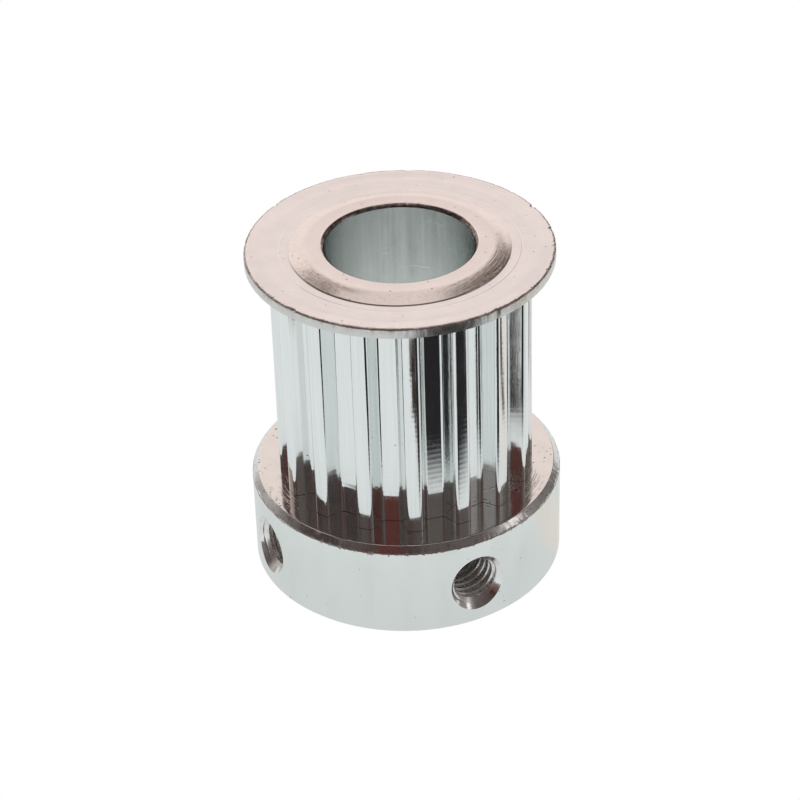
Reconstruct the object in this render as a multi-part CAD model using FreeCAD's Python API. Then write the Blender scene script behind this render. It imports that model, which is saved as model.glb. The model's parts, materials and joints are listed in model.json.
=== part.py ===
import FreeCAD, Part
import math
import os

# Timing belt pulley: a toothed sleeve with a hub collar pressed on its lower end
# and a flange swaged on its upper end, held on its shaft by two set screws.
# Millimetres. Origin at the bore's centre on the hub's end face, +Z up the bore
# towards the flange. The set screws lie along -Y and -X.

# Belt drive: metric pitch, straight-sided teeth
BELT_PITCH = 5.0
TEETH = 16
TIP_BELOW_PITCH_LINE = 0.43
GROOVE_DEPTH = 1.75
GROOVE_ROOT_WIDTH = 1.78
GROOVE_FLANK_ANGLE = 25.0
GROOVE_ROOT_ROUNDING = 0.4
TOOTH_TIP_ROUNDING = 0.4

# Bore
BORE_RADIUS = 7.0
BORE_CHAMFER = 0.3

# Hub
HUB_RADIUS = 15.0
HUB_WIDTH = 10.0
HUB_TOP_CHAMFER = 0.6
HUB_END_CHAMFER = 0.4

# Toothed face, from the hub's face to the flange
TOOTHED_WIDTH = 22.8

# Turned ends of the toothed sleeve
HUB_SPIGOT_RADIUS = 10.4
FLANGE_SPIGOT_RADIUS = 9.9
SWAGE_RADIUS = 10.4
SWAGE_LAND_RADIUS = 8.8
SWAGE_HEIGHT = 0.5

# Flange
FLANGE_RADIUS = 14.5
FLANGE_THICKNESS = 1.0
FLANGE_LIP_START_RADIUS = 12.9
FLANGE_LIP_RISE = 0.14
FLANGE_EDGE_BREAK = 0.12

# Set screws: M5, flat face outwards with a hexagon socket, cup point inwards
THREAD_RADIUS = 2.5
THREAD_CLEARANCE = 0.05
SCREW_LENGTH = 4.0
SCREW_RECESS = 0.2
SCREW_FACE_CHAMFER = 0.4
CUP_RADIUS = 1.25
CUP_DEPTH = 0.6
POINT_LENGTH = 0.7
SOCKET_ACROSS_FLATS = 2.5
SOCKET_DEPTH = 2.0
SCREW_HEIGHT = 4.65
COUNTERSINK_RADIUS = 3.0

# Worked out from the values above
PITCH_RADIUS = TEETH * BELT_PITCH / (2 * math.pi)
TIP_RADIUS = PITCH_RADIUS - TIP_BELOW_PITCH_LINE
ROOT_RADIUS = TIP_RADIUS - GROOVE_DEPTH
TOOTH_ANGLE = 360.0 / TEETH
FLANGE_BOTTOM = HUB_WIDTH + TOOTHED_WIDTH
FLANGE_TOP = FLANGE_BOTTOM + FLANGE_THICKNESS
OVERALL_HEIGHT = FLANGE_TOP + SWAGE_HEIGHT

Z_AXIS = FreeCAD.Vector(0, 0, 1)
ORIGIN = FreeCAD.Vector(0, 0, 0)

# Each set screw and the way it comes out of the hub
SCREW_DIRECTIONS = {
    "set_screw_1": FreeCAD.Vector(0, -1, 0),
    "set_screw_2": FreeCAD.Vector(-1, 0, 0),
}


def polar(radius, degrees, z=0.0):
    """A point at a radius and an angle round the bore, counted from +X."""
    angle = math.radians(degrees)
    return FreeCAD.Vector(radius * math.cos(angle), radius * math.sin(angle), z)


def turned(profile):
    """The solid that a closed (radius, z) profile makes when it is turned about +Z."""
    points = [FreeCAD.Vector(radius, 0, z) for radius, z in profile]
    face = Part.Face(Part.makePolygon(points + points[:1]))
    return face.revolve(ORIGIN, Z_AXIS, 360)


def rounded_corner(before, corner, after, radius):
    """The two tangent points and the middle of an arc that rounds a corner."""
    to_before = (before - corner).normalize()
    to_after = (after - corner).normalize()
    half_angle = to_before.getAngle(to_after) / 2
    reach = radius / math.tan(half_angle)
    bisector = (to_before + to_after).normalize()
    centre = corner + bisector * (radius / math.sin(half_angle))
    middle = centre - bisector * radius
    return corner + to_before * reach, middle, corner + to_after * reach


def groove_corners(mid_angle):
    """The four corners of one belt groove: tip, root, root, tip, going round the bore."""
    out = polar(1, mid_angle)
    along = polar(1, mid_angle + 90)
    half_root = GROOVE_ROOT_WIDTH / 2
    spread = math.tan(math.radians(GROOVE_FLANK_ANGLE))
    # The flank leaves the root corner at its angle and ends on the tip circle
    root_out = math.sqrt(ROOT_RADIUS ** 2 - half_root ** 2)
    a = 1 + spread ** 2
    b = 2 * (root_out + half_root * spread)
    c = root_out ** 2 + half_root ** 2 - TIP_RADIUS ** 2
    climb = (-b + math.sqrt(b * b - 4 * a * c)) / (2 * a)
    half_tip = half_root + climb * spread
    tip_out = root_out + climb
    return [
        out * tip_out - along * half_tip,
        out * root_out - along * half_root,
        out * root_out + along * half_root,
        out * tip_out + along * half_tip,
    ]


def toothed_outline():
    """The closed outline of all the teeth, with rounded tips and roots, at z = 0."""
    grooves = [groove_corners((i + 0.5) * TOOTH_ANGLE) for i in range(TEETH)]
    edges = []
    arc_ends = []
    for i, groove in enumerate(grooves):
        tip_before = grooves[i - 1][3]
        tip_after = grooves[(i + 1) % TEETH][0]
        outline = [tip_before, *groove, tip_after]
        radii = [TOOTH_TIP_ROUNDING, GROOVE_ROOT_ROUNDING, GROOVE_ROOT_ROUNDING, TOOTH_TIP_ROUNDING]
        for k, radius in enumerate(radii):
            arc_ends.append(rounded_corner(outline[k], outline[k + 1], outline[k + 2], radius))
    for i, (start, middle, end) in enumerate(arc_ends):
        edges.append(Part.Arc(start, middle, end).toShape())
        next_start = arc_ends[(i + 1) % len(arc_ends)][0]
        crosses_tip = i % 4 == 3
        if crosses_tip:
            between = (end + next_start).normalize() * TIP_RADIUS
            edges.append(Part.Arc(end, between, next_start).toShape())
        else:
            edges.append(Part.LineSegment(end, next_start).toShape())
    return Part.Wire(edges)


def screw_hole(outward):
    """The cylinder of one threaded hole, from the bore's centre out past the hub."""
    start = FreeCAD.Vector(0, 0, SCREW_HEIGHT)
    return Part.makeCylinder(THREAD_RADIUS, HUB_RADIUS + 1, start, outward)


def countersink(outward):
    """A 90 degree cone that opens the mouth of a threaded hole."""
    past_surface = 1.0
    depth = COUNTERSINK_RADIUS - THREAD_RADIUS
    start = FreeCAD.Vector(0, 0, SCREW_HEIGHT) + outward * (HUB_RADIUS - depth)
    outer_radius = COUNTERSINK_RADIUS + past_surface
    return Part.makeCone(THREAD_RADIUS, outer_radius, depth + past_surface, start, outward)


def make_toothed_body():
    """The sleeve: teeth, a plain spigot in the hub, and the collar swaged over the flange."""
    core = turned([
        (BORE_RADIUS, BORE_CHAMFER),
        (BORE_RADIUS + BORE_CHAMFER, 0),
        (HUB_SPIGOT_RADIUS, 0),
        (HUB_SPIGOT_RADIUS, FLANGE_BOTTOM),
        (FLANGE_SPIGOT_RADIUS, FLANGE_BOTTOM),
        (FLANGE_SPIGOT_RADIUS, FLANGE_TOP - (SWAGE_RADIUS - FLANGE_SPIGOT_RADIUS)),
        (SWAGE_RADIUS, FLANGE_TOP),
        (SWAGE_LAND_RADIUS, OVERALL_HEIGHT),
        (BORE_RADIUS + BORE_CHAMFER, OVERALL_HEIGHT),
        (BORE_RADIUS, OVERALL_HEIGHT - BORE_CHAMFER),
    ])
    teeth = Part.Face(toothed_outline()).extrude(Z_AXIS * TOOTHED_WIDTH)
    teeth.translate(Z_AXIS * HUB_WIDTH)
    bore = Part.makeCylinder(BORE_RADIUS, OVERALL_HEIGHT)
    body = core.fuse(teeth.cut(bore)).removeSplitter()
    for outward in SCREW_DIRECTIONS.values():
        body = body.cut(screw_hole(outward))
    return body


def make_hub_collar():
    """The plain ring round the lower spigot, drilled and tapped for the set screws."""
    collar = turned([
        (HUB_SPIGOT_RADIUS, 0),
        (HUB_RADIUS - HUB_END_CHAMFER, 0),
        (HUB_RADIUS, HUB_END_CHAMFER),
        (HUB_RADIUS, HUB_WIDTH - HUB_TOP_CHAMFER),
        (HUB_RADIUS - HUB_TOP_CHAMFER, HUB_WIDTH),
        (HUB_SPIGOT_RADIUS, HUB_WIDTH),
    ])
    for outward in SCREW_DIRECTIONS.values():
        collar = collar.cut(screw_hole(outward)).cut(countersink(outward))
    return collar


def make_flange():
    """The thin side disc: flat inside, with a lip that leans slightly away from the belt."""
    lip_slope = FLANGE_LIP_RISE / (FLANGE_RADIUS - FLANGE_LIP_START_RADIUS)
    rim_bottom = FLANGE_BOTTOM + FLANGE_LIP_RISE
    rim_top = FLANGE_TOP + FLANGE_LIP_RISE
    break_drop = FLANGE_EDGE_BREAK * lip_slope
    return turned([
        (FLANGE_SPIGOT_RADIUS, FLANGE_BOTTOM),
        (FLANGE_LIP_START_RADIUS, FLANGE_BOTTOM),
        (FLANGE_RADIUS - FLANGE_EDGE_BREAK, rim_bottom - break_drop),
        (FLANGE_RADIUS, rim_bottom + FLANGE_EDGE_BREAK),
        (FLANGE_RADIUS, rim_top - FLANGE_EDGE_BREAK),
        (FLANGE_RADIUS - FLANGE_EDGE_BREAK, rim_top - break_drop),
        (FLANGE_LIP_START_RADIUS, FLANGE_TOP),
        (SWAGE_RADIUS, FLANGE_TOP),
        (FLANGE_SPIGOT_RADIUS, FLANGE_TOP - (SWAGE_RADIUS - FLANGE_SPIGOT_RADIUS)),
    ])


def hexagon_socket():
    """The key socket, standing on z = 0 and open at its top, with a drilled bottom."""
    corner_radius = SOCKET_ACROSS_FLATS / math.sqrt(3)
    corners = [polar(corner_radius, 60 * i) for i in range(6)]
    prism = Part.Face(Part.makePolygon(corners + corners[:1])).extrude(Z_AXIS * SOCKET_DEPTH)
    drill_radius = SOCKET_ACROSS_FLATS / 2
    drill_depth = drill_radius * math.tan(math.radians(30))
    bottom = Part.makeCone(0, drill_radius, drill_depth, FreeCAD.Vector(0, 0, -drill_depth))
    return prism.fuse(bottom)


def make_set_screw(outward):
    """One set screw, its cup point just clear of the bore, made upright and laid along outward."""
    radius = THREAD_RADIUS - THREAD_CLEARANCE
    screw = turned([
        (0, CUP_DEPTH),
        (CUP_RADIUS, 0),
        (radius, POINT_LENGTH),
        (radius, SCREW_LENGTH - SCREW_FACE_CHAMFER),
        (radius - SCREW_FACE_CHAMFER, SCREW_LENGTH),
        (0, SCREW_LENGTH),
    ])
    socket = hexagon_socket()
    socket.translate(Z_AXIS * (SCREW_LENGTH - SOCKET_DEPTH))
    screw = screw.cut(socket)
    place = FreeCAD.Vector(0, 0, SCREW_HEIGHT) + outward * (BORE_RADIUS + SCREW_RECESS)
    screw.Placement = FreeCAD.Placement(place, FreeCAD.Rotation(Z_AXIS, outward))
    return screw


def main():
    nodes = {
        "toothed_body": make_toothed_body(),
        "hub_collar": make_hub_collar(),
        "flange": make_flange(),
    }
    for name, outward in SCREW_DIRECTIONS.items():
        nodes[name] = make_set_screw(outward)
    os.makedirs("parts", exist_ok=True)
    for name, shape in nodes.items():
        shape.exportStep(f"parts/{name}.step")
        print(name, shape.isValid(), len(shape.Solids), round(shape.Volume, 2), "mm3")


main()
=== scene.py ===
import bmesh
import bpy
import json
import math
from mathutils import Matrix, Vector, noise


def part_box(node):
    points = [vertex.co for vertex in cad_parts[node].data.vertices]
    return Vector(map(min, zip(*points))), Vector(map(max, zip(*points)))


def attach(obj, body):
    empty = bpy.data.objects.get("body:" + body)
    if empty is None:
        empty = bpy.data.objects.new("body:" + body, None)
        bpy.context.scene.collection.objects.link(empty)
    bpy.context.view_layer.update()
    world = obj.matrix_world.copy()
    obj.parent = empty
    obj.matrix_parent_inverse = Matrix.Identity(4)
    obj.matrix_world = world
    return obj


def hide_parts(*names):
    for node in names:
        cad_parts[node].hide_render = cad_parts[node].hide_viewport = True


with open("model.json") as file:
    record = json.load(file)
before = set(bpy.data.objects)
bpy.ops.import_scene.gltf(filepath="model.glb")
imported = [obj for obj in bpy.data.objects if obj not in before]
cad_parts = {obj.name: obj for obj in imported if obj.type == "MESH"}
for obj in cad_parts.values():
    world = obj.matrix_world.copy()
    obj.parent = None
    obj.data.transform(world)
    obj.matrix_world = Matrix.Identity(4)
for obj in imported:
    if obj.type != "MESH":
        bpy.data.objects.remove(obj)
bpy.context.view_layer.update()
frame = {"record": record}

MM = 0.001
TURN = 2 * math.pi
UP = Vector((0, 0, 1))

# ---- sizes from the frame, in mm


def box_mm(node):
    low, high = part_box(node)
    return low / MM, high / MM


def mount_dims(name):
    for mount in frame["record"]["mounts"]:
        if mount["name"] == name:
            return mount["dims"]
    raise KeyError(name)


_, HUB_HIGH = box_mm("hub_collar")
FLANGE_LOW, FLANGE_HIGH = box_mm("flange")
_, SLEEVE_HIGH = box_mm("toothed_body")
SCREW_LOW, SCREW_HIGH = box_mm("set_screw_1")

HUB_RADIUS = HUB_HIGH.x
HUB_TOP = HUB_HIGH.z
BORE_RADIUS = mount_dims("shaft_bore")["r_mm"]
SLEEVE_TOP = SLEEVE_HIGH.z
TIP_RADIUS = SLEEVE_HIGH.x
TEETH = mount_dims("belt_track")["count"]
FLANGE_BOTTOM = FLANGE_LOW.z
FLANGE_RADIUS = FLANGE_HIGH.x
SCREW_HEIGHT = (SCREW_LOW.z + SCREW_HIGH.z) / 2
SCREW_INNER = -SCREW_HIGH.y
SCREW_OUTER = -SCREW_LOW.y

# The other sizes of the design that the looks follow
HUB_TOP_CHAMFER = 0.6
HUB_END_CHAMFER = 0.4
BORE_CHAMFER = 0.3
SPIGOT_RADIUS = 10.4
FLANGE_SPIGOT_RADIUS = 9.9
FLANGE_THICKNESS = 1.0
FLANGE_TOP = FLANGE_BOTTOM + FLANGE_THICKNESS
SWAGE_RADIUS = 10.4
SWAGE_LAND_RADIUS = 8.8
LIP_START_RADIUS = 12.9
LIP_RISE = FLANGE_HIGH.z - FLANGE_TOP
FLANGE_LINE_RADIUS = 11.32
GROOVE_DEPTH = 1.75
GROOVE_ROOT_WIDTH = 1.78
GROOVE_FLANK_ANGLE = math.radians(25)
ROOT_RADIUS = TIP_RADIUS - GROOVE_DEPTH
TIP_ROUNDING = 0.4
ROOT_ROUNDING = 0.4

# M5 thread: the holes' major radius, and the radius inside the thread
THREAD_MAJOR = 2.5
THREAD_MINOR = 2.067
THREAD_PITCH = 0.8
SCREW_CLEARANCE = 0.05
COUNTERSINK_RADIUS = 3.0
SCREW_CHAMFER = 0.4
SOCKET_ACROSS_FLATS = 2.5
SOCKET_DEPTH = 2.0
CUP_RADIUS = 1.25
CUP_DEPTH = 0.6
POINT_LENGTH = 0.7

# Each cross hole points this way round the bore, counted from +X
HOLE_ANGLES = {"set_screw_1": math.radians(270), "set_screw_2": math.radians(180)}

# How finely the meshes are divided: points in a full circle, then steps along the holes
HUB_POINTS = 1440
FLANGE_POINTS = 1080
HOLE_POINTS = 180
SCREW_POINTS = 144
DISC_POINTS = 96
HUB_WALL_STEPS = 92
SLEEVE_WALL_STEPS = 68

# The heights that the cross holes lie between, and the height of a step there
HOLE_BAND = (1.0, 8.4)
HUB_BAND_STEP = 0.16
SLEEVE_BAND_STEP = 0.2

WELD_DISTANCE = 2e-4
SHARP_ANGLE = math.radians(24)

# ---- mesh building


def polar(radius, angle, z):
    return Vector((radius * math.cos(angle), radius * math.sin(angle), z))


def turns_of(count, start=0.0):
    """Evenly spaced angles, once round."""
    return [TURN * k / count + start for k in range(count)]


def put_in_scene(name, data):
    thing = bpy.data.objects.new(name, data)
    bpy.context.scene.collection.objects.link(thing)
    return thing


class Shell:
    """The faces of one piece, in millimetres. A face's kind is the surface that it is part of: an edge
    between two kinds can be sharp, and barrel kinds have the exact normal of a cylinder about the bore."""

    def __init__(self):
        self.points = []
        self.faces = []
        self.kinds = []
        self.barrels = {}

    def ring(self, points):
        first = len(self.points)
        self.points.extend(points)
        return list(range(first, len(self.points)))

    def circle(self, radius, angles, z):
        return self.ring([polar(radius, a, z) for a in angles])

    def face(self, corners, kind):
        self.faces.append(corners)
        self.kinds.append(kind)

    def bridge(self, ring_a, ring_b, kind, skip=frozenset()):
        count = len(ring_a)
        for i in range(count):
            if i not in skip:
                j = (i + 1) % count
                self.face((ring_a[i], ring_a[j], ring_b[j], ring_b[i]), kind)

    def loft(self, ring, angles, profile):
        """Rings that go on from a ring, each joined to the last. The profile holds their (radius, z), or a
        function of the angle that gives it, with the kind of the faces that lead there."""
        for place, kind in profile:
            points = []
            for angle in angles:
                radius, z = place(angle) if callable(place) else place
                points.append(polar(radius, angle, z))
            following = self.ring(points)
            if ring:
                self.bridge(ring, following, kind)
            ring = following
        return ring

    def cap(self, ring, centre, kind):
        middle = self.ring([centre])[0]
        for i in range(len(ring)):
            self.face((ring[i], ring[(i + 1) % len(ring)], middle), kind)

    def stitch(self, ring_a, angles_a, ring_b, angles_b, kind):
        """Triangles between two rings with different numbers of points, both sorted by angle."""
        i, j = 0, 0
        count_a, count_b = len(ring_a), len(ring_b)
        while i < count_a or j < count_b:
            next_a = angles_a[i + 1] if i + 1 < count_a else angles_a[(i + 1) % count_a] + TURN
            next_b = angles_b[j + 1] if j + 1 < count_b else angles_b[(j + 1) % count_b] + TURN
            a, b = ring_a[i % count_a], ring_b[j % count_b]
            if j >= count_b or (i < count_a and next_a <= next_b):
                self.face((a, ring_a[(i + 1) % count_a], b), kind)
                i += 1
            else:
                self.face((a, ring_b[(j + 1) % count_b], b), kind)
                j += 1

    def make(self, name, body, replaced, materials, paint=None):
        """The finished object: welded, facing outwards, sharp where two surfaces meet at an angle."""
        mesh = bpy.data.meshes.new(name)
        mesh.from_pydata([point * MM for point in self.points], [], self.faces)
        kinds = mesh.attributes.new("kind", "INT", "FACE")
        kinds.data.foreach_set("value", self.kinds)
        work = bmesh.new()
        work.from_mesh(mesh)
        bmesh.ops.remove_doubles(work, verts=work.verts, dist=WELD_DISTANCE * MM)
        bmesh.ops.recalc_face_normals(work, faces=work.faces)
        layer = work.faces.layers.int["kind"]
        for edge in work.edges:
            if len(edge.link_faces) == 2:
                a, b = edge.link_faces
                split = a[layer] != b[layer] and a.normal.angle(b.normal, 0) > SHARP_ANGLE
                edge.smooth = not split
        for face in work.faces:
            face.smooth = True
            if paint:
                face.material_index = paint[face[layer]]
        work.to_mesh(mesh)
        work.free()
        self.set_barrel_normals(mesh)
        piece = put_in_scene(name, mesh)
        for material in materials:
            mesh.materials.append(material)
        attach(piece, body)
        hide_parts(*replaced)
        return piece

    def set_barrel_normals(self, mesh):
        normals = [Vector((0, 0, 0))] * len(mesh.loops)
        kinds = mesh.attributes["kind"].data
        for polygon in mesh.polygons:
            side = self.barrels.get(kinds[polygon.index].value)
            if side:
                for loop_index in polygon.loop_indices:
                    spot = mesh.vertices[mesh.loops[loop_index].vertex_index].co
                    normals[loop_index] = Vector((spot.x, spot.y, 0)).normalized() * side
        mesh.normals_split_custom_set(normals)


class CrossHole:
    """A hole across the bore's axis: where it is, and points given by an angle about its own axis."""

    def __init__(self, angle):
        self.angle = angle
        self.out = polar(1, angle, 0)
        self.side = polar(1, angle + math.pi / 2, 0)
        self.centre = UP * SCREW_HEIGHT

    def on_cylinder(self, across, up, radius):
        along = math.sqrt(radius ** 2 - across ** 2)
        return self.centre + self.side * across + UP * up + self.out * along

    def at(self, radius, turn, along):
        across = radius * math.cos(turn)
        return self.centre + self.side * across + UP * (radius * math.sin(turn)) + self.out * along


HOLES = [CrossHole(angle) for angle in HOLE_ANGLES.values()]
HOLE_TURNS = turns_of(HOLE_POINTS, -math.pi)

# Round each hole a square patch of the cylinder is left open, then filled by rings that change from the
# square to the hole's edge: half the patch's width, and how far each ring has come
PATCH_HALF_WIDTH = 3.55
PATCH_SHARES = (0.3, 0.55, 0.75, 0.9)


def thread_radius(turn, along):
    """The wall's radius in a threaded hole: the metric form, with its corners worn round."""
    phase = (along / THREAD_PITCH - turn / TURN) % 1.0
    from_groove = abs(phase - 0.5) * THREAD_PITCH
    depth = (from_groove - THREAD_PITCH / 32) / (THREAD_PITCH * 3 / 8)
    depth = min(max(depth, 0), 1)
    return THREAD_MAJOR - (THREAD_MAJOR - THREAD_MINOR) * depth * depth * (3 - 2 * depth)


def tapped_edge(turn):
    return THREAD_MAJOR


def drilled_wall(shell, radius, angles, heights, kind, edge_radius):
    """A cylinder about the bore with both cross holes in it. Gives its first ring, its last ring,
    and each hole's edge ring, whose radius is edge_radius(turn)."""
    rings = [shell.circle(radius, angles, z) for z in heights]
    half_angle = math.asin(PATCH_HALF_WIDTH / radius)
    levels = [j for j, z in enumerate(heights) if abs(z - SCREW_HEIGHT) <= PATCH_HALF_WIDTH]
    j0, j1 = levels[0], levels[-1]
    patches = []
    for hole in HOLES:
        columns = [i for i, a in enumerate(angles) if abs(a - hole.angle) <= half_angle]
        patches.append((hole, columns[0], columns[-1]))
    for j in range(len(heights) - 1):
        skip = set()
        if j0 <= j < j1:
            for hole, i0, i1 in patches:
                skip.update(range(i0, i1))
        shell.bridge(rings[j], rings[j + 1], kind, skip)
    edges = []
    for hole, i0, i1 in patches:
        border = [(i, j0) for i in range(i0, i1)] + [(i1, j) for j in range(j0, j1)]
        border += [(i, j1) for i in range(i1, i0, -1)] + [(i0, j) for j in range(j1, j0, -1)]
        spots = []
        for i, j in border:
            across = radius * math.sin(angles[i] - hole.angle)
            up = heights[j] - SCREW_HEIGHT
            spots.append((math.atan2(up, across), across, up, rings[j][i]))
        spots.sort()
        turns = [spot[0] for spot in spots]
        ring = [spot[3] for spot in spots]
        for share in PATCH_SHARES:
            points = []
            for turn, across, up, _ in spots:
                edge = edge_radius(turn)
                x = across + (edge * math.cos(turn) - across) * share
                z = up + (edge * math.sin(turn) - up) * share
                points.append(hole.on_cylinder(x, z, radius))
            inner = shell.ring(points)
            shell.bridge(ring, inner, kind)
            ring = inner
        points = []
        for turn in HOLE_TURNS:
            edge = edge_radius(turn)
            points.append(hole.on_cylinder(edge * math.cos(turn), edge * math.sin(turn), radius))
        edge_ring = shell.ring(points)
        shell.stitch(ring, turns, edge_ring, HOLE_TURNS, kind)
        edges.append(edge_ring)
    return rings[0], rings[-1], edges


def hole_wall(shell, hole, outer_ring, inner_ring, wall_radius, kinds, steps):
    """The wall of a cross hole between its edge rings on two cylinders. The kinds are the thread's
    and the countersink's."""
    outers = [(shell.points[i] - hole.centre).dot(hole.out) for i in outer_ring]
    inners = [(shell.points[i] - hole.centre).dot(hole.out) for i in inner_ring]
    ring = outer_ring
    for k in range(1, steps):
        points = []
        for turn, outer, inner in zip(HOLE_TURNS, outers, inners):
            along = outer + (inner - outer) * k / steps
            points.append(hole.at(wall_radius(turn, along), turn, along))
        deeper = shell.ring(points)
        sink = sum(outers) / len(outers) * (1 - k / steps) + sum(inners) / len(inners) * k / steps
        in_sink = sink > HUB_RADIUS - (COUNTERSINK_RADIUS - THREAD_MAJOR) - 0.1
        shell.bridge(ring, deeper, kinds[1] if in_sink else kinds[0])
        ring = deeper
    shell.bridge(ring, inner_ring, kinds[0])


def steps_between(low, high, size):
    count = max(1, round((high - low) / size))
    return [low + (high - low) * k / count for k in range(count + 1)]


def ragged(angle, seed, scale=1.0):
    """A rough, mostly small value from 0 to about 1 that runs round an edge, as a burr does."""
    spot = Vector((math.cos(angle), math.sin(angle), 0)) * 26 * scale
    spot.z = seed * 7.3
    coarse = noise.noise(spot)
    fine = noise.noise(spot * 4.1)
    return max(0.0, coarse + 0.15) * 0.7 + max(0.0, fine) * 0.6


# ---- hub collar

HUB_FACE, HUB_BARREL, HUB_END, HUB_CHAMFER, HUB_BURR = range(5)
HUB_BORE, HUB_THREAD, HUB_SINK, HUB_LOW_CHAMFER = range(5, 9)


def countersink_edge(turn):
    """The countersink's edge on the hub's round side, a little narrower across than up."""
    edge = COUNTERSINK_RADIUS
    for _ in range(4):
        fall = HUB_RADIUS - math.sqrt(HUB_RADIUS ** 2 - (edge * math.cos(turn)) ** 2)
        edge = COUNTERSINK_RADIUS - fall
    return edge


def hub_hole_radius(turn, along):
    cone = COUNTERSINK_RADIUS - (HUB_RADIUS - along)
    return max(thread_radius(turn, along), cone)


def make_hub(materials):
    shell = Shell()
    shell.barrels = {HUB_BARREL: 1, HUB_BORE: -1}
    angles = turns_of(HUB_POINTS)
    band = steps_between(*HOLE_BAND, HUB_BAND_STEP)
    side_low, side_high = HUB_END_CHAMFER, HUB_TOP - HUB_TOP_CHAMFER
    top_face = HUB_RADIUS - HUB_TOP_CHAMFER
    mid_face = 12.6

    def edge_drop(angle):
        """How far the chamfer's torn lower edge hangs down at this angle."""
        return 0.01 + 0.15 * ragged(angle, 1) + 0.35 * max(0, ragged(angle, 8, 2.3) - 0.3)

    heights = [side_low + 0.05] + band + [side_high - 0.3]
    low, high, outer_edges = drilled_wall(
        shell, HUB_RADIUS, angles, heights, HUB_BARREL, countersink_edge)

    # The top chamfer: its lower edge is torn by the turning tool
    shell.loft(high, angles, [
        (lambda a: (HUB_RADIUS, side_high - 0.06 - edge_drop(a)), HUB_BARREL),
        (lambda a: (HUB_RADIUS - 0.012, side_high - 0.02 - edge_drop(a)), HUB_BURR),
        (lambda a: (HUB_RADIUS - 0.05, side_high + 0.03 - 0.5 * edge_drop(a)), HUB_BURR),
        ((HUB_RADIUS - 0.16, side_high + 0.14), HUB_CHAMFER),
        ((top_face + 0.07, HUB_TOP - 0.07), HUB_CHAMFER),
        (lambda a: (top_face + 0.03 + 0.03 * ragged(a, 2), HUB_TOP - 0.022), HUB_CHAMFER),
        ((top_face - 0.01, HUB_TOP - 0.004), HUB_FACE),
        ((top_face - 0.06, HUB_TOP), HUB_FACE),
        ((top_face - 0.3, HUB_TOP), HUB_FACE),
        ((mid_face, HUB_TOP), HUB_FACE),
        ((SPIGOT_RADIUS, HUB_TOP), HUB_FACE),
    ])

    # The lower end, which the pulley stands on
    shell.loft(low, angles, [
        ((HUB_RADIUS, side_low), HUB_BARREL),
        ((HUB_RADIUS - 0.03, side_low - 0.05), HUB_LOW_CHAMFER),
        ((HUB_RADIUS - HUB_END_CHAMFER + 0.05, 0.03), HUB_LOW_CHAMFER),
        ((HUB_RADIUS - HUB_END_CHAMFER, 0), HUB_END),
        ((SPIGOT_RADIUS, 0), HUB_END),
    ])

    _, _, inner_edges = drilled_wall(
        shell, SPIGOT_RADIUS, angles, [0] + band + [HUB_TOP], HUB_BORE, tapped_edge)
    for hole, outer, inner in zip(HOLES, outer_edges, inner_edges):
        hole_wall(shell, hole, outer, inner, hub_hole_radius, (HUB_THREAD, HUB_SINK), HUB_WALL_STEPS)
    paint = {HUB_FACE: 1, HUB_BARREL: 0, HUB_END: 1, HUB_CHAMFER: 2, HUB_BURR: 5, HUB_BORE: 0,
             HUB_THREAD: 3, HUB_SINK: 4, HUB_LOW_CHAMFER: 0}
    return shell.make("hub_collar_turned", "pulley", ["hub_collar"], materials, paint)


# ---- toothed sleeve

TOOTH_SIDE, SLEEVE_END, SLEEVE_BORE, SLEEVE_SPIGOT, SLEEVE_THREAD, SWAGE, SLEEVE_CHAMFER, TOOTH_END = range(8)
SCALLOP_PITCH = 0.56
SCALLOP_DEPTH = 0.0048
TIP_STEPS = 4
ARC_STEPS = 6
SLOPE_STEPS = 8


def corner_arc(before, corner, after, radius, steps):
    """Points of a small arc that rounds one corner of the tooth outline, with a support point each side."""
    back = (before - corner).normalized()
    on = (after - corner).normalized()
    half = back.angle(on) / 2
    reach = radius / math.tan(half)
    centre = corner + (back + on).normalized() * (radius / math.sin(half))
    start, end = corner + back * reach, corner + on * reach
    points = [start + back * 0.04]
    for k in range(steps + 1):
        spoke = start.lerp(end, k / steps) - centre
        points.append(centre + spoke.normalized() * radius)
    points.append(end + on * 0.04)
    return points


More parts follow.
